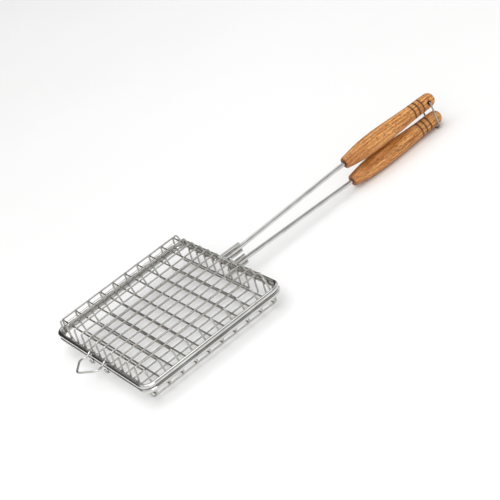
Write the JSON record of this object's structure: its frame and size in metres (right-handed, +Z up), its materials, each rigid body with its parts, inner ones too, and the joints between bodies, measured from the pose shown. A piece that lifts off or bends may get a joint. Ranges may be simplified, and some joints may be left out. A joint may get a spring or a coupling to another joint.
{
  "type": "grill basket",
  "caption": "Hinged wire grill basket: two shallow wire trays that close on food, each with a long rod handle and turned wooden grip, a bent wire front hinge and a locking ring",
  "frame": {"origin": "centre of the outline in X and Y, at the height of the lowest point of the closed basket", "axes": "+Y runs from the hinge to the grips, +X is the basket's right side, +Z is up and normal to the grids"},
  "size_m": [0.2446, 0.5981, 0.0528],
  "materials": {
    "wire": "bright plated thin wire, lightly worn",
    "rod": "bright plated thick wire",
    "grip_wood": "turned hardwood, oiled, with darkened grooves"
  },
  "bodies": {
    "lower_tray": {"lower_frame": "rod", "lower_long_wire_01": "wire", "lower_long_wire_02": "wire", "lower_long_wire_03": "wire", "lower_long_wire_04": "wire", "lower_long_wire_05": "wire", "lower_long_wire_06": "wire", "lower_long_wire_07": "wire", "lower_long_wire_08": "wire", "lower_long_wire_09": "wire", "lower_long_wire_10": "wire", "lower_long_wire_11": "wire", "lower_cross_wire_01": "wire", "lower_cross_wire_02": "wire", "lower_cross_wire_03": "wire", "lower_cross_wire_04": "wire", "lower_cross_wire_05": "wire", "lower_cross_wire_06": "wire", "lower_cross_wire_07": "wire", "lower_cross_wire_08": "wire", "lower_cross_wire_09": "wire", "lower_cross_wire_10": "wire", "lower_handle_rod": "rod", "lower_rod_brace": "rod", "lower_rod_stay": "rod", "lower_grip": "grip_wood"},
    "hinge_link": {"hinge_loop": "wire"},
    "upper_tray": {"upper_frame": "rod", "upper_long_wire_01": "wire", "upper_long_wire_02": "wire", "upper_long_wire_03": "wire", "upper_long_wire_04": "wire", "upper_long_wire_05": "wire", "upper_long_wire_06": "wire", "upper_long_wire_07": "wire", "upper_long_wire_08": "wire", "upper_long_wire_09": "wire", "upper_long_wire_10": "wire", "upper_long_wire_11": "wire", "upper_cross_wire_01": "wire", "upper_cross_wire_02": "wire", "upper_cross_wire_03": "wire", "upper_cross_wire_04": "wire", "upper_cross_wire_05": "wire", "upper_cross_wire_06": "wire", "upper_cross_wire_07": "wire", "upper_cross_wire_08": "wire", "upper_cross_wire_09": "wire", "upper_cross_wire_10": "wire", "upper_handle_rod": "rod", "upper_rod_brace": "rod", "upper_rod_stay": "rod", "upper_grip": "grip_wood"},
    "ring_link": {"locking_ring": "wire"}
  },
  "joints": [
    {"name": "loop_hinge", "type": "hinge", "parent": "lower_tray", "child": "hinge_link", "pos_m": [0, -0.26761, 0.0232], "axis": [1, 0, 0], "range_deg": [0, 90]},
    {"name": "tray_hinge", "type": "hinge", "parent": "hinge_link", "child": "upper_tray", "pos_m": [0, -0.26761, 0.0296], "axis": [1, 0, 0], "range_deg": [0, 90]},
    {"name": "ring_hinge", "type": "hinge", "parent": "upper_tray", "child": "ring_link", "pos_m": [0, 0.28479, 0.0414], "axis": [1, 0, 0], "range_deg": [0, 250]}
  ],
  "couplings": [
    {"joint": "tray_hinge", "follows": "loop_hinge", "ratio": 1}
  ]
}
